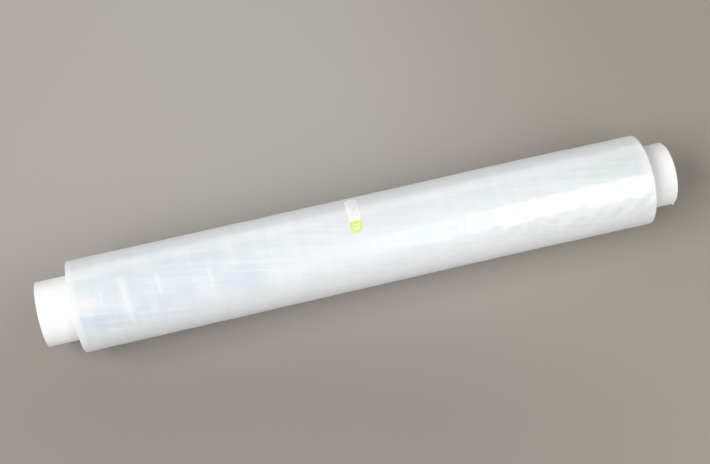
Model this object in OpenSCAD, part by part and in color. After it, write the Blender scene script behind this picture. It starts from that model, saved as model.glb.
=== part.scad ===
// Cling film roll: film wound on a paperboard core, lying on the flat spot that its weight presses.
// The roll runs along X. The origin is on the surface that it lies on, under the middle of the core.

/* [Core] */
// Inner diameter of the core, which takes a spindle or an end plug
bore_d = 40; // [30:1:52]
// Wall of the core, several plies of board
core_wall = 5; // [2:0.5:8]
// Core that stands out of the film at the left end
stub_left = 26; // [10:1:60]
// Core that stands out of the film at the right end
stub_right = 22; // [10:1:60]
// Break of the core's cut edges
core_edge = 0.4; // [0.2:0.1:0.8]

/* [Film] */
// Width of the film, which is the length of the wound part
film_w = 450; // [300:10:600]
// Film wound on the core, measured from the core outwards
film_build = 10.4; // [5:0.2:30]
// Thickness of the wraps gathered at the free edge, and the spiral's rise in one turn
edge_t = 0.2; // [0.1:0.05:0.4]
// Place of the free edge round the roll, in degrees from the top towards the front
edge_at = -4; // [-30:1:30]
// Thickness of the turns that ran together, seen as one band on an end face
band_t = 0.8; // [0.5:0.1:2]
// Farthest that a band sits inside an end face
band_run = 0.5; // [0.1:0.05:1]
// Width of the flat spot
flat_w = 8; // [4:0.5:12]

/* [Start label] */
// Size of the label along the roll
label_w = 10; // [6:0.5:20]
// Length of the label round the roll
label_len = 36; // [26:1:50]
// Length of the tab that hangs past the free edge
label_tab = 9.5; // [7:0.5:12]
// Thickness of the label
label_t = 0.2; // [0.1:0.05:0.4]
// Middle of the label along the roll, from the middle of the film
label_x = -7; // [-100:1:100]
// Length of the fold where the tab comes down over the free edge
label_fold = 0.6; // [0.4:0.1:1]

/* [Hidden] */
$fn = 144;

core_r = bore_d / 2 + core_wall;
core_len = stub_left + film_w + stub_right;
film_mid = (stub_left - stub_right) / 2;
film_r = core_r + film_build;

// The flat spot is a chord of the roll, so the axis lies a little lower than a true circle's
axis_z = sqrt(film_r * film_r - flat_w * flat_w / 4);

// The spiral is drawn as two half circles. Each is centred half of this off the axis, on its own side,
// and their radii differ by it, so they meet smoothly on one side and leave the free edge on the other
shift = edge_t / 2;
under_r = film_r - shift / 2;
over_r = film_r + shift / 2;

// Bands go in from the outermost turn to the core. The last one takes what is left, and is drawn past
// the core's surface, where the core's hole trims it. The two angles spread neighbouring bands apart
bands = floor(film_build / band_t);
right_turn = 137.5;
left_turn = 97;

// Angles that the label covers each side of the free edge, and that its fold takes
degree_mm = 360 / (2 * PI * film_r);
label_back = (label_len - label_tab) * degree_mm;
label_front = label_tab * degree_mm;
fold = label_fold * degree_mm;

cut = 1;

// Lays a shape drawn round +Z along +X, on the roll's axis
module on_axis() {
    translate([0, 0, axis_z])
        rotate([90, 0, 90])
            children();
}

// Turns a shape so that its +X side is at the free edge, at the middle of the film
module at_free_edge() {
    on_axis()
        translate([0, 0, film_mid])
            rotate(90 + edge_at)
                children();
}

module core_tube() {
    inner = bore_d / 2;
    half = core_len / 2;
    color("white")
        on_axis()
            rotate_extrude()
                polygon([
                    [inner, core_edge - half],
                    [inner + core_edge, -half],
                    [core_r - core_edge, -half],
                    [core_r, core_edge - half],
                    [core_r, half - core_edge],
                    [core_r - core_edge, half],
                    [inner + core_edge, half],
                    [inner, half - core_edge]
                ]);
}

// How far a band sits inside the end face. The outermost band is flush
function inset(band, turn) = band_run * (1 - cos(band * turn)) / 2;

// Radius of a band's edge, for a half roll of outer radius r
function edge_r(r, edge) = edge < bands ? r - edge * band_t : core_r - band_t;

// The steps of one end of the roll, from the outermost turn inwards
function end_steps(r, side, turn) = [
    for (band = [0 : bands - 1])
        for (edge = [band, band + 1])
            [edge_r(r, edge), side * (film_w / 2 - inset(band, turn))]
];

function reversed(list) = [for (i = [len(list) - 1 : -1 : 0]) list[i]];

// Half of the roll as wound, with its bands stepped at both ends
module half_roll(r) {
    rotate_extrude(angle = 180)
        polygon(concat(
            end_steps(r, 1, right_turn),
            reversed(end_steps(r, -1, left_turn))
        ));
}

// All the film's turns: a spiral section with a free edge, on the core, pressed flat where it lies
module film_roll() {
    color("azure", 0.9)
        difference() {
            at_free_edge() {
                translate([-shift / 2, 0, 0])
                    half_roll(under_r);
                translate([shift / 2, 0, 0])
                    rotate(180)
                        half_roll(over_r);
            }
            on_axis()
                cylinder(r = core_r, h = core_len + cut, center = true);
            translate([film_mid - film_w / 2 - cut, -film_r, -film_r])
                cube([film_w + 2 * cut, 2 * film_r, film_r]);
        }
}

// A stretch of paper on a turn of radius r, from one angle to another, before its outline is cut
module paper(r, thickness, from, to) {
    width = label_w + 2 * cut;
    rotate(from)
        rotate_extrude(angle = to - from)
            translate([r, -width / 2])
                square([thickness, width]);
}

// The paper as it lies: flat on the last turn, down over the free edge, and on along the turn below
module draped_paper() {
    translate([shift / 2, 0, 0])
        paper(over_r, label_t, -label_back, fold / 2);
    translate([-shift / 2, 0, 0]) {
        paper(under_r, edge_t + label_t / 2, 0, fold);
        paper(under_r, label_t, fold * 3 / 4, label_front);
    }
}

// The label's outline, with round ends, cut straight down towards the axis at the label's middle
module label_outline() {
    half = film_r * sin((label_back + label_front) / 2) - label_w / 2;
    rotate((label_front - label_back) / 2)
        rotate([0, 90, 0])
            linear_extrude(2 * film_r) {
                square([label_w, 2 * half], center = true);
                for (side = [-1, 1])
                    translate([0, side * half])
                        circle(d = label_w);
            }
}

// The sticker that holds the free edge down
module start_label() {
    color("greenyellow")
        at_free_edge()
            translate([0, 0, label_x])
                intersection() {
                    draped_paper();
                    label_outline();
                }
}

core_tube();
film_roll();
start_label();
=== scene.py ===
"""A cling film roll: film wound on a white board core, its free edge held by a small label."""

import math

import bpy
import numpy as np
from mathutils import Matrix, Vector


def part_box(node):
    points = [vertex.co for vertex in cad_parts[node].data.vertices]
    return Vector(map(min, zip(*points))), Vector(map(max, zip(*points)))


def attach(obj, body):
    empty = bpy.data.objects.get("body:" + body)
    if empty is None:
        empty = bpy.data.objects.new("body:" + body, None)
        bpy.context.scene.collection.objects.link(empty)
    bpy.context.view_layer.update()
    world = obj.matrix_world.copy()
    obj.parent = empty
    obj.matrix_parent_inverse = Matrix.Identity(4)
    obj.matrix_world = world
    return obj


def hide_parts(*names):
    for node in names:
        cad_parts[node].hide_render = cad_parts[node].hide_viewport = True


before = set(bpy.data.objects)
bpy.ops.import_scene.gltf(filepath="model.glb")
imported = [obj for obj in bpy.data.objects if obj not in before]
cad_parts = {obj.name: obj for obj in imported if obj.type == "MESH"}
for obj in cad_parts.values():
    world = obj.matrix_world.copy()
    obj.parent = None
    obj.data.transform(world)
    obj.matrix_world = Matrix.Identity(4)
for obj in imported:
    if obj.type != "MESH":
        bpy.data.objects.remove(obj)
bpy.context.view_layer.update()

MM = 0.001


# The core. A tube of several plies of brown board wound in a spiral on a mandrel, under a white
# paper liner whose edges meet in a spiral seam. It is sawn to length, so its ends show the plies.
def node_mesh(name, points, faces, smooth_angle=40):
    """A piece from its points and faces, smooth where its faces meet at less than the angle."""
    mesh = bpy.data.meshes.new(name)
    mesh.from_pydata(points, [], faces)
    mesh.validate()
    mesh.shade_smooth()
    mesh.set_sharp_from_angle(angle=math.radians(smooth_angle))
    piece = bpy.data.objects.new(name, mesh)
    bpy.context.scene.collection.objects.link(piece)
    return piece


def grid_faces(rows, columns, first=0, closed=False):
    """Quads between neighbouring points of a grid, whose points run along each row in turn."""
    faces = []
    for row in range(rows if closed else rows - 1):
        for column in range(columns if closed else columns - 1):
            next_row, next_column = (row + 1) % rows, (column + 1) % columns
            faces.append((
                first + row * columns + column,
                first + row * columns + next_column,
                first + next_row * columns + next_column,
                first + next_row * columns + column,
            ))
    return faces


def wound_piece(name, rings, angle, smooth_angle=40):
    """A piece that goes round the roll's axis, flat where it lies on the floor. Each of its rings is a
    place along the axis and a radius, and either may change from angle to angle."""
    points = []
    for x, r in rings:
        xs, rs = np.broadcast_to(x, angle.shape), np.broadcast_to(r, angle.shape)
        points += zip(xs, -rs * np.sin(angle), np.maximum(AXIS_Z + rs * np.cos(angle), 0))
    faces = grid_faces(len(rings), len(angle), closed=True)
    return node_mesh(name, points, faces, smooth_angle)


class Wire:
    """A value in a material. Sums and products of wires add the Math nodes that they need."""

    def __init__(self, finish, socket):
        self.finish, self.socket = finish, socket

    def maths(self, operation, *others):
        values = dict(enumerate((self, *others)))
        return self.finish.node("ShaderNodeMath", {"operation": operation}, values)

    def __add__(self, other):
        return self.maths("ADD", other)

    def __sub__(self, other):
        return self.maths("SUBTRACT", other)

    def __mul__(self, other):
        return self.maths("MULTIPLY", other)

    def __truediv__(self, other):
        return self.maths("DIVIDE", other)

    def __rsub__(self, other):
        return self.finish.node("ShaderNodeMath", {"operation": "SUBTRACT"}, {0: other, 1: self})

    def __neg__(self):
        return self * -1

    __radd__, __rmul__ = __add__, __mul__

    def between(self, low, high):
        """0 up to the first value, 1 past the second, and a smooth step from one to the other."""
        settings = {"interpolation_type": "SMOOTHSTEP"}
        return self.finish.node("ShaderNodeMapRange", settings, {0: self, 1: low, 2: high})

    def near(self, middle, inner, outer):
        """1 within the inner distance of a value, 0 past the outer one."""
        return 1 - (self - middle).maths("ABSOLUTE").between(inner, outer)


class Finish:
    """A material being made, with places along the roll, back from it, round it, and out from its axis."""

    def __init__(self, name):
        self.material = bpy.data.materials.new(name)
        self.material.use_nodes = True
        self.tree = self.material.node_tree
        self.tree.nodes.clear()
        self.place = self.node("ShaderNodeTexCoord", output="Object")
        self.along, self.depth, height = (
            self.node("ShaderNodeSeparateXYZ", inputs={0: self.place}, output=axis) for axis in "XYZ"
        )
        front, up = -self.depth, height - AXIS_Z
        self.around = front.maths("ARCTAN2", up)
        self.out = (front * front + up * up).maths("SQRT")

    def node(self, kind, settings=None, inputs=None, output=0):
        node = self.tree.nodes.new(kind)
        for name, value in (settings or {}).items():
            setattr(node, name, value)
        for name, value in (inputs or {}).items():
            if isinstance(value, Wire):
                self.tree.links.new(value.socket, node.inputs[name])
            else:
                node.inputs[name].default_value = value
        return Wire(self, node.outputs[output]) if node.outputs else None

    def noise(self, where, detail, roughness, settings=None):
        """Soft noise between about 0 and 1 at a place, which is named by the input it goes to."""
        inputs = {"Scale": 1.0, "Detail": detail, "Roughness": roughness}
        return self.node("ShaderNodeTexNoise", settings, {**where, **inputs})

    def mottle(self, scales, detail=2.0, seed=0.0, roughness=0.5):
        """Noise in space, with a scale of its own along X, Y and Z."""
        shift = (seed, seed * 0.7, -seed)
        stretched = self.node("ShaderNodeVectorMath", {"operation": "MULTIPLY"}, {0: self.place, 1: scales})
        moved = self.node("ShaderNodeVectorMath", {"operation": "ADD"}, {0: stretched, 1: shift})
        return self.noise({"Vector": moved}, detail, roughness)

    def blend(self, share, one, other):
        """From one colour to the other by a share."""
        colours = {0: share, 6: one, 7: other}
        return self.node("ShaderNodeMix", {"data_type": "RGBA"}, colours, output=2)

    def surface(self, colour, roughness, height, distance, strength, **constants):
        """The shader itself, with a bump from a height, and its other inputs with _ for each space."""
        bump = {"Strength": strength, "Distance": distance, "Height": height}
        normal = self.node("ShaderNodeBump", {}, bump)
        sockets = {"Base Color": colour, "Roughness": roughness, "Normal": normal}
        sockets.update({name.replace("_", " "): value for name, value in constants.items()})
        shader = self.node("ShaderNodeBsdfPrincipled", {}, sockets)
        self.node("ShaderNodeOutputMaterial", {}, {"Surface": shader})
        return self.material


core_low, core_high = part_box("core_tube")
AXIS_Z = (core_low.z + core_high.z) / 2
core_r = (core_high.z - core_low.z) / 2
core_wall = 5 * MM
bore_r = core_r - core_wall
core_end = core_high.x

# The sawn ends: the plies, which stand up between shallow grooves, and the saw's roughness
plies = 4
ply_ease = 0.18 * MM
ply_groove = 0.25 * MM
saw_rough = 0.12 * MM

# The spiral seam: its pitch, where it starts outside and in the bore, its width and its depth
seam_pitch = 94.8 * MM
seam_start = 95.8 * MM
bore_seam_start = 9 * MM
seam_gap = 0.9 * MM
seam_depth = 0.12 * MM
bore_seam_depth = 0.05 * MM

# Where the right rim stands up a little
lift_angle = math.radians(103)
lift_spread = 0.035
lift_height = 1.1 * MM


def seam_groove(x, angle, start):
    """How far a point lies in the groove where the liner's edges meet: 1 in it, 0 outside."""
    away = (x - start - angle / (2 * np.pi) * seam_pitch + seam_pitch / 2) % seam_pitch - seam_pitch / 2
    return np.clip(1.5 - np.abs(away) / seam_gap * 2, 0, 1)


def core_mesh():
    """The tube, from a section that runs out along its outside, in over one end, back along its bore, and
    out over the other end."""
    rng = np.random.default_rng(11)
    steps, stub_rings, bore_rings = 256, 32, 90
    ring_step, outside_skin, bore_skin = 0.9 * MM, 0.02 * MM, 0.03 * MM
    angle = np.linspace(0, 2 * np.pi, steps, endpoint=False)
    edges = np.linspace(core_r, bore_r, plies + 1)
    last = core_end - 0.5 * MM

    def end_face(side, edges):
        """Rings of one sawn end, from the first of its plies' edges to the last."""
        waves = [rng.uniform(0, 2 * np.pi, 5) for _ in edges]
        rings = []
        for start, end, wave in zip(edges, edges[1:], waves):
            ease = ply_ease * np.sign(end - start)
            burr = sum(np.sin(k * angle * 3 + wave[k - 1]) / k for k in range(1, 6)) * saw_rough / 3
            face = side * (core_end - 0.1 * MM) + burr * 0.5
            groove = face - side * ply_groove
            rings += [(groove, start + ease * 0.2), (face, start + ease)]
            rings += [(face, end - ease), (groove, end - ease * 0.2)]
        return rings

    rings = []
    stub = np.arange(stub_rings) * ring_step
    for x in np.concatenate([stub - last, last - stub[::-1]]):
        groove = seam_depth * seam_groove(x, angle, seam_start)
        lift = lift_height * np.exp(-((angle - lift_angle) / lift_spread) ** 2) * (x > core_end - 2 * MM)
        rings.append((x, core_r - outside_skin - groove + lift))
    rings += end_face(1, edges)
    for x in np.linspace(last, -last, bore_rings):
        rings.append((x, bore_r + bore_skin + bore_seam_depth * seam_groove(x, angle, bore_seam_start)))
    rings += end_face(-1, edges[::-1])
    return wound_piece("core_board", rings, angle)


def core_finish():
    """White paper outside with a painted highlight along the rim near each end, duller in the bore, with the
    seam, and brown plies on the sawn ends.
    """
    liner_white, liner_bright = (0.94, 0.935, 0.925, 1), (0.965, 0.96, 0.95, 1)
    seam_grey, rim_highlight, bore_dull = (0.60, 0.57, 0.53, 1), (0.985, 0.97, 0.935, 1), (0.70, 0.66, 0.58, 1)
    board_brown, board_pale, glue_brown = (0.66, 0.60, 0.50, 1), (0.80, 0.75, 0.66, 1), (0.45, 0.40, 0.33, 1)
    finish = Finish("core_board")
    fibres = finish.mottle((900, 900, 900), detail=4.0)
    cloud = finish.mottle((30, 60, 60), seed=4.0)
    turn = (finish.along - seam_start) / seam_pitch - finish.around / (2 * math.pi)
    off_seam = ((turn + 0.5).maths("FRACT") - 0.5) * seam_pitch
    seam = off_seam.near(0, seam_gap * 0.3, seam_gap * 0.9)
    from_middle = finish.along.maths("ABSOLUTE")
    rim = from_middle.between(core_end - 2.6 * MM, core_end - 1.2 * MM)
    cut = from_middle.between(core_end - 0.45 * MM, core_end - 0.25 * MM)
    bore = 1 - finish.out.between(bore_r + 0.1 * MM, bore_r + 0.3 * MM)
    liner = finish.blend(cloud, liner_white, liner_bright)
    liner = finish.blend(seam * 0.25, liner, seam_grey)
    # A painted highlight, cream, along the rim a little in from each sawn end
    liner = finish.blend(rim * 0.8, liner, rim_highlight)
    liner = finish.blend(bore * 0.5, liner, bore_dull)
    ply = ((finish.out * (plies / core_wall)).maths("FRACT") - 0.5).maths("ABSOLUTE").between(0.3, 0.5)
    board = finish.blend(fibres, board_brown, board_pale)
    board = finish.blend(ply * 0.4, board, glue_brown)
    colour = finish.blend(cut, liner, board)
    return finish.surface(colour, 0.62 + fibres * 0.2, fibres, distance=0.08 * MM, strength=0.5)


core = core_mesh()
core.data.materials.append(core_finish())
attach(core, "root")
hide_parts("core_tube")


# The film. Some two hundred metres of clear film a hundredth of a millimetre thick, wound under tension.
# So many turns look milky. Bands where the film ran thicker ring the roll, and its free edge runs
# along it. The turns' edges wander a little, and the roll has pressed itself flat where it lies.
film_low, film_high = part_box("film_roll")
film_mid = (film_low.x + film_high.x) / 2
film_half = (film_high.x - film_low.x) / 2
film_r = (film_high.y - film_low.y) / 2

# The free edge: its place round the roll and the step that it makes
edge_angle = math.radians(-4)
edge_step = 0.05 * MM

# The end faces: bands of turns that ran together, how far one sits in at most, and the rounded shoulder
# outside them, each of whose rings is given in mm in from the end and down from the outer turn
end_bands = 13
band_run = 0.5 * MM
shoulder = 0.35 * MM
shoulder_rings = [(0.06, 0.30), (0.02, 0.15), (0.12, 0.05)]

# Creases that stand up from the outer turn: place along the roll in mm from the film's middle, where each
# starts and ends round it in degrees from the top towards the front, and width and height in mm. Then how
# far they lean along the roll, in mm for each degree
creases = [
    (-185.0, -2, 66, 6.5, 0.20),
    (-202.5, 12, 32, 1.5, 0.09),
    (-159.5, 5, 32, 3.4, 0.08),
    (-121.5, 12, 38, 2.8, 0.03),
    (-214.0, 16, 26, 1.6, 0.06),
    (52.0, 30, 42, 2.0, 0.03),
]
crease_lean = 0.03

# Places where the outer turns bulge: place along the roll and half length in mm, place round it and half
# width in degrees, and height in mm
bulges = [
    (225, 70, 105, 30, 0.8),
    (125, 45, -64, 30, 0.5),
]


def label_clear(x, angle):
    """1 on the film away from the label, 0 under it, so that it lies flat there."""
    low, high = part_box("start_label")
    label_at, reach_around, reach_along = math.radians(-18), math.radians(38), 9 * MM
    beside = np.abs(x - (low.x + high.x) / 2) / reach_along
    beyond = np.abs(angle - label_at) / reach_around
    return np.clip((np.maximum(beside, beyond) - 0.8) * 4, 0, 1)


def film_relief(x, angle):
    """How far the film's surface stands from a true turn: thick bands, slack, creases and bulges."""
    rng = np.random.default_rng(5)
    local = (x - film_mid) / MM
    degrees = np.degrees(angle)
    relief = np.zeros(np.broadcast(x, angle).shape)

    def wave(turns, slant, phase):
        return np.sin(turns * angle + 2 * np.pi * slant * local + phase)

    # Thick and thin bands, 2 to 9 mm wide, all along the roll
    for _ in range(70):
        middle, width = rng.uniform(-225, 225), rng.uniform(2, 9)
        relief = relief + rng.uniform(-0.03, 0.03) * np.exp(-((local - middle) / width) ** 2)
    # Broad slack all round, the broader the higher
    for _ in range(40):
        turns, slant, phase = rng.integers(2, 16), rng.uniform(-1, 1) / 24, rng.uniform(0, 2 * np.pi)
        relief = relief + 0.075 / turns * wave(turns, slant, phase)
    # Finer slack on the front of the right half
    loose = np.clip((local - 60) / 60, 0, 1)
    loose = loose * np.clip((degrees - 32) / 8, 0, 1) * np.clip((72 - degrees) / 10, 0, 1)
    for _ in range(8):
        turns, slant, phase = rng.integers(10, 22), rng.uniform(-1, 1) / 15, rng.uniform(0, 2 * np.pi)
        relief = relief + 0.045 * loose * wave(turns, slant, phase)
    for middle, start, end, width, height in creases:
        lean = (degrees - start) * crease_lean
        across = np.exp(-((local - middle - lean) / width * 2) ** 2)
        length = np.clip((degrees - start) / 6, 0, 1) * np.clip((end - degrees) / 6, 0, 1)
        relief = relief + height * across * length
    for middle, reach, at, spread, height in bulges:
        away = ((local - middle) / reach) ** 2 + ((degrees - at) / spread) ** 2
        relief = relief + height * np.exp(-away)
    return relief * MM * label_clear(x, angle)


def film_mesh():
    """The wound film: for each angle round the roll, a section from one end's core to the other's. The
    last angle is the first one again, a step further out, and the free edge lies between the two."""
    rng = np.random.default_rng(8)
    steps, outside_rings = 208, 320
    wander_mm, uneven_mm, face_skin, band_gap = 0.05, 0.08, 0.06 * MM, 0.02 * MM
    turned = np.linspace(0, 1, steps)
    angle = edge_angle + 2 * np.pi * turned
    wrapped = (angle + np.pi) % (2 * np.pi) - np.pi
    edges = np.linspace(core_r, film_r - shoulder, 2 * end_bands + 1)[::-1]

    def end_face(side, spread):
        """Rings of one end, from its shoulder in to the core. The angle spreads neighbouring bands apart."""
        rings = []
        for i, (outer, inner) in enumerate(zip(edges, edges[1:])):
            depth = band_run * (1 - math.cos(math.radians(i // 2 * spread))) / 2
            wander = wander_mm * np.sin(angle * rng.integers(1, 4) + rng.uniform(0, 6)) * MM
            inset = depth + rng.uniform(0, uneven_mm) * MM + wander + face_skin
            place = film_mid + side * (film_half - inset)
            rings += [(place, outer), (place, inner + band_gap)]
        return rings

    def outer_turn(x):
        """Its radius, which the spiral raises by the step over one full turn."""
        return film_r - edge_step * (1 - turned) + film_relief(x, wrapped)

    left, right = end_face(-1, 97), end_face(1, 137.5)
    lengthways = np.linspace(shoulder - film_half, film_half - shoulder, outside_rings) + film_mid
    first, last = outer_turn(lengthways[0]), outer_turn(lengthways[-1])
    rings = left[::-1]
    rings += [(film_low.x + into * MM, first - down * MM) for into, down in shoulder_rings]
    rings += [(x, outer_turn(x)) for x in lengthways]
    rings += [(film_high.x - into * MM, last - down * MM) for into, down in shoulder_rings[::-1]]
    rings += right
    return wound_piece("wound_film", rings, angle, smooth_angle=50)


# Patches of other colour: bluish and greenish ones where the outer turns lie a little loose or stick
# together, pinkish painted highlight, painted light on the front and along the lower front, and painted shade
# on the top of the right end. Each has its place along the roll in mm, place round it in degrees from the
# top, half length, half width in degrees, colour, and how much of it shows
patches = [
    (-165, 18, 92, 54, "slack", 0.45),
    (-204, 46, 25, 12, "slack", 0.95),
    (-174, 42, 9, 11, "slack", 0.60),
    (-157, 43, 9, 13, "slack", 0.55),
    (-97, 38, 22, 26, "slack", 0.50),
    (-215, 24, 15, 10, "painted_warm_highlight", 0.90),
    (-126, 36, 9, 14, "painted_warm_highlight", 0.40),
    (10, 28, 20, 9, "painted_warm_highlight", 0.30),
    (-210, 0, 13, 8, "tint", 0.70),
    (-160, 0, 16, 7, "tint", 0.55),
    (-127, -3, 14, 8, "tint", 0.45),
    (-70, 4, 40, 16, "tint", 0.30),
    (181, 8, 12, 14, "tint", 0.50),
    (-12, 27, 66, 14, "painted_light", 0.45),
    (45, 78, 190, 28, "painted_light", 0.85),
    (50, 20, 70, 10, "painted_light", 0.35),
    (-198, 54, 36, 10, "slack", 0.50),
    (-137, 36, 20, 12, "slack", 0.30),
    (224, -6, 60, 34, "painted_shade", 0.50),
]
# The patches' colours: the pale white and the pinkish white are painted light, the dull grey-green painted
# shade
patch_shades = {
    "slack": (0.62, 0.71, 0.82, 1),
    "painted_warm_highlight": (0.93, 0.895, 0.915, 1),
    "tint": (0.72, 0.85, 0.80, 1),
    "painted_light": (0.93, 0.95, 0.97, 1),
    "painted_shade": (0.66, 0.74, 0.70, 1),
}


def film_finish():
    """Milky film, lighter and darker in rings, with a pearly tint, its patches, some of them painted light
    and shade, its creases, and a painted highlight near each end.
    """
    ring_dark, ring_light = (0.83, 0.87, 0.887, 1), (0.885, 0.915, 0.925, 1)
    cloud_blue, pearl_rose, pearl_green = (0.76, 0.82, 0.87, 1), (0.87, 0.865, 0.91, 1), (0.82, 0.90, 0.87, 1)
    crease_light, end_highlight_white = (0.93, 0.955, 0.965, 1), (0.95, 0.965, 0.965, 1)
    drift_light, drift_dark = (0.94, 0.955, 0.96, 1), (0.77, 0.82, 0.85, 1)
    line_light = (0.95, 0.965, 0.97, 1)
    turn_dark, turn_light = (0.58, 0.64, 0.67, 1), (0.86, 0.885, 0.89, 1)
    finish = Finish("wound_film")
    local = (finish.along - film_mid) / MM
    degrees = finish.around * (180 / math.pi)
    cloud = finish.mottle((16, 34, 34), seed=1.0)
    grain = finish.mottle((60, 90, 90), detail=3.0, seed=7.0)
    rings = finish.mottle((170, 3, 3), detail=3.0, seed=2.0, roughness=0.55)
    lines = finish.mottle((6, 700, 700), seed=3.0)
    streaks = finish.mottle((240, 14, 14), detail=3.0, seed=9.0)
    pearl = finish.mottle((48, 42, 42), detail=1.0, seed=12.0)
    ragged = (grain - 0.5) + (streaks - 0.5) * 0.7

    colour = finish.blend(rings.between(0.3, 0.7), ring_dark, ring_light)
    colour = finish.blend(cloud.between(0.4, 0.75) * 0.3, colour, cloud_blue)
    colour = finish.blend(pearl.between(0.5, 0.68) * 0.4, colour, pearl_rose)
    colour = finish.blend((1 - pearl).between(0.5, 0.68) * 0.4, colour, pearl_green)
    # Each patch blends in its colour; some are painted highlight, painted light or painted shade
    for place, angle, length, width, shade, share in patches:
        along = (local - place) / length
        around = (degrees - angle) / width
        patch = 1 - ((along * along + around * around).maths("SQRT") + ragged).between(0.1, 1.2)
        colour = finish.blend(patch * share, colour, patch_shades[shade])
    for middle, start, end, width, _ in creases:
        beside = (local - middle - (degrees - start) * crease_lean).maths("ABSOLUTE")
        length = degrees.between(start - 2, start + 5) * (1 - degrees.between(end - 5, end + 2))
        taper = width * (1 - degrees.between(start, end) * 0.5)
        crease = (1 - (beside / taper + ragged * 0.25).between(0.2, 0.75)) * length
        colour = finish.blend(crease * 0.6, colour, crease_light)

    # Broad streaks that drift along the roll, lighter and darker
    drift_around = (finish.around * film_r / MM - local * 0.2) * 0.3
    drift_place = finish.node("ShaderNodeCombineXYZ", {}, {0: drift_around, 1: local * 0.01})
    drift = finish.noise({"Vector": drift_place}, detail=3.0, roughness=0.6)
    colour = finish.blend(drift.between(0.48, 0.7) * 0.4, colour, drift_light)
    colour = finish.blend((1 - drift).between(0.5, 0.7) * 0.3, colour, drift_dark)
    # One fine light line that runs slantwise on the right half
    slant = (degrees + 33 - local * 0.24).near(0, 0.3, 1.1)
    slant = slant * local.between(-5, 20) * (1 - local.between(130, 165))
    colour = finish.blend(slant * 0.3, colour, line_light)
    # A painted highlight, pale and ragged, near each end of the film
    end_highlight = (local.maths("ABSOLUTE") + ragged * 4).between(film_half / MM - 7, film_half / MM - 3)
    colour = finish.blend(end_highlight * 0.6, colour, end_highlight_white)

    # The end faces show the edges of the turns as fine rings
    end = 1 - finish.out.between(film_r - 1.0 * MM, film_r - 0.5 * MM)
    turns = finish.noise({"W": finish.out * 1500}, 4.0, 0.65, {"noise_dimensions": "1D"})
    ends = finish.blend(turns.between(0.3, 0.7), turn_dark, turn_light)
    colour = finish.blend(end, colour, ends)
    roughness = 0.34 + cloud * 0.1 + end * 0.15
    height = rings * 0.4 + lines * 0.3 + turns * end
    return finish.surface(
        colour, roughness, height, distance=0.03 * MM, strength=0.3, IOR=1.7,
        Coat_Weight=1.0, Coat_Roughness=0.07, Coat_IOR=1.6,
        Sheen_Weight=0.42, Sheen_Roughness=0.5, Sheen_Tint=(0.94, 0.97, 1.0, 1),
    )


film = film_mesh()
film.data.materials.append(film_finish())
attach(film, "root")
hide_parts("film_roll")


# The start label. A coated paper sticker with round ends, white with a lime tab, printed and die-cut. Its
# white part sticks to the last turn, a little askew, and its tab hangs past the free edge to lift it by.
label_low, label_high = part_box("start_label")
label_mid = (label_low.x + label_high.x) / 2
label_out = film_r + 0.2 * MM
label_from = math.asin(-label_high.y / label_out)
label_to = math.asin(-label_low.y / label_out)

# Half its width, its paper's thickness and the gap under it, how far it leans along the roll for each part
# of its length, and how high and over what length its tab curls up
label_half = 4.8 * MM
label_t = 0.16 * MM
label_gap = 0.02 * MM
label_skew = 0.04
tab_lift = 0.10 * MM
tab_lift_len = 3 * MM


def label_mesh():
    """The sticker, in rows across its width, thick enough to show its edge. The rows are closest together
    at its round ends."""
    rows, across = 72, 17
    tip_half, edge_ease = 0.001 * MM, 0.03
    length = (label_to - label_from) * film_r
    points = []
    for lift in (label_gap, label_t):
        for row in range(rows + 1):
            s = length * (0.5 - 0.5 * math.cos(math.pi * row / rows))
            angle = label_from + s / film_r
            short = max(0, label_half - min(s, length - s))
            half = math.sqrt(max(label_half ** 2 - short ** 2, tip_half ** 2))
            edge = edge_step * np.clip((edge_angle - angle) / edge_ease + 1, 0, 1)
            r = film_r - edge_step + edge + lift
            r += tab_lift * max(0, (s - length + tab_lift_len) / tab_lift_len) ** 2
            for place in np.linspace(-1, 1, across):
                x = label_mid + half * place + (length - s) * label_skew
                points.append((x, -r * math.sin(angle), AXIS_Z + r * math.cos(angle)))
    count = (rows + 1) * across
    under = [face[::-1] for face in grid_faces(rows + 1, across)]
    over = grid_faces(rows + 1, across, first=count)
    rim = [row * across for row in range(rows + 1)]
    rim += range(rows * across + 1, count)
    rim += [row * across + across - 1 for row in range(rows - 1, -1, -1)]
    rim += range(across - 2, 0, -1)
    walls = [(a, b, b + count, a + count) for a, b in zip(rim, rim[1:] + rim[:1])]
    return node_mesh("start_sticker", points, under + over + walls)


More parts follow.
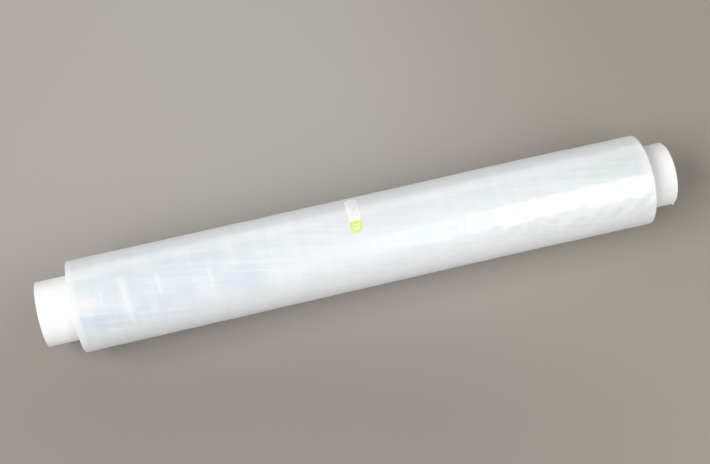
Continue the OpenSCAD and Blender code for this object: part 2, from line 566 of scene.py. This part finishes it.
def label_finish():
    """Print in plain shapes: on the white part an oval and a dotted ring, and on the tab two chevrons."""
    paper_white, print_grey = (0.98, 0.995, 0.98, 1), (0.42, 0.50, 0.42, 1)
    tab_lime, chevron_pale = (0.71, 0.905, 0.21, 1), (0.93, 0.97, 0.72, 1)
    tab_mm = 9.5
    finish = Finish("start_sticker")
    length = (label_to - label_from) * film_r / MM
    s = (finish.around - label_from) * (film_r / MM)
    across = (finish.along - label_mid) / MM - (length - s) * label_skew
    grain = finish.mottle((1500, 1500, 1500), detail=3.0)

    oval_x, oval_s, oval_x_sq, oval_s_sq = 1.0, 10, 5.2, 34
    oval = (across - oval_x) * (across - oval_x) / oval_x_sq + (s - oval_s) * (s - oval_s) / oval_s_sq
    oval = oval.near(1.0, 0.05, 0.5) * 0.17 + (1 - oval.between(0.5, 1.0)) * 0.07
    ring_x, ring_s, ring_r = 0.7, 20.3, 1.9
    beside, below = across - ring_x, s - ring_s
    dots = (beside.maths("ARCTAN2", below) * 5).maths("SINE").between(-0.4, 0.4)
    ring = (beside * beside + below * below).maths("SQRT").near(ring_r, 0.25, 0.8) * (0.08 + dots * 0.13)
    white = finish.blend(oval + ring, paper_white, print_grey)

    from_tip = across.maths("ABSOLUTE") * 0.5 + (s - length)
    chevrons = from_tip.near(-5.6, 0.45, 0.95) + from_tip.near(-2.9, 0.45, 0.95)
    chevrons = chevrons * across.near(0.3, 2.2, 2.8)
    lime = finish.blend(chevrons * 0.9, tab_lime, chevron_pale)
    tab = s.between(length - tab_mm - 0.2, length - tab_mm + 0.1)
    colour = finish.blend(tab, white, lime)
    return finish.surface(
        colour, 0.38 + grain * 0.1, grain, distance=0.03 * MM, strength=0.3,
        Coat_Weight=0.15, Coat_Roughness=0.3, Sheen_Weight=1.0, Sheen_Roughness=0.5,
    )


label = label_mesh()
label.data.materials.append(label_finish())
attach(label, "root")
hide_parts("start_label")


# The floor: a pale board, wide enough to fill the view, with painted light and shade on it.
def floor_piece():
    reach = 4.0
    corners = [(-reach, -reach, 0), (reach, -reach, 0), (reach, reach, 0), (-reach, reach, 0)]
    return node_mesh("studio_floor", corners, [(0, 1, 2, 3)])


def floor_finish():
    """Grey, with painted shade a little darker in front, painted light behind on the left, and painted shade,
    darker and warmer, on the right.
    """
    front_shade_grey, middle_grey = (0.290, 0.265, 0.240, 1), (0.378, 0.348, 0.316, 1)
    back_lit_grey, right_shade_warm = (0.430, 0.404, 0.372, 1), (0.345, 0.312, 0.273, 1)
    speck = (0.30, 0.27, 0.24, 1)
    finish = Finish("studio_floor")
    grain = finish.mottle((300, 300, 300), detail=3.0)
    # Painted shade darkens the front and the right, which is also warmer, and painted light brightens the
    # back on the left
    behind = (finish.depth + finish.along * 0.3).between(-0.13, 0.0)
    back_left_lit = finish.depth.between(-0.02, 0.1) * finish.along.between(-0.5, -0.05)
    colour = finish.blend(behind, front_shade_grey, middle_grey)
    colour = finish.blend(back_left_lit, colour, back_lit_grey)
    colour = finish.blend(finish.along.between(0.0, 0.3), colour, right_shade_warm)
    colour = finish.blend(grain * 0.1, colour, speck)
    return finish.surface(colour, 0.85, grain, distance=0.1 * MM, strength=0.1)


floor = floor_piece()
floor.data.materials.append(floor_finish())


# The light: a broad softbox on the left, two panels in front on the right, which the film mirrors, weak
# ones low in front and behind, and an even room.
def softbox(name, place, aim, width, height, power, colour=(1, 1, 1)):
    light = bpy.data.lights.new(name, "AREA")
    light.shape = "RECTANGLE"
    light.size, light.size_y = width, height
    light.energy = power
    light.color = colour
    lamp = bpy.data.objects.new(name, light)
    lamp.location = place
    lamp.rotation_euler = (Vector(place) - Vector(aim)).to_track_quat("Z", "Y").to_euler()
    bpy.context.scene.collection.objects.link(lamp)


softbox("left", (-2.25, -0.50, 2.20), (0, 0, 0), 3.0, 1.5, 85)
softbox("front_right", (0.80, -0.96, 1.185), (0.80, 0, 0.035), 0.76, 1.36, 8)
softbox("front_middle", (0.30, -0.98, 1.165), (0.30, 0, 0.035), 0.24, 1.24, 0.7)
softbox("front_low", (0, -2.6, 1.3), (0, 0, 0), 5.0, 2.4, 14, (0.93, 0.97, 1.0))
softbox("behind", (0, 2.5, 1.5), (0, 0, 0), 4.0, 1.6, 16)

world = bpy.data.worlds.new("room")
world.use_nodes = True
background = world.node_tree.nodes["Background"]
background.inputs["Color"].default_value = (1.0, 1.0, 1.0, 1)
background.inputs["Strength"].default_value = 0.26
bpy.context.scene.world = world
bpy.context.scene.view_settings.view_transform = "Standard"


# The camera: in front and above, a little to the left, as the photograph looks down on the roll.
picture_width = 710
focal_px = 1258.3
eye = Vector((-105.15, -392.10, 888.45)) * MM + Vector((film_mid, 0, AXIS_Z))
ahead = Vector((0.1021, 0.40992, -0.90639))
rightwards = Vector((0.97035, -0.2417, 0.0))
upwards = rightwards.cross(ahead)
lens = bpy.data.cameras.new("camera")
lens.sensor_width = 36
lens.lens = lens.sensor_width * focal_px / picture_width
camera = bpy.data.objects.new("camera", lens)
turn = Matrix((rightwards, upwards, -ahead)).transposed()
camera.matrix_world = Matrix.Translation(eye) @ turn.to_4x4()
bpy.context.scene.collection.objects.link(camera)
bpy.context.scene.camera = camera
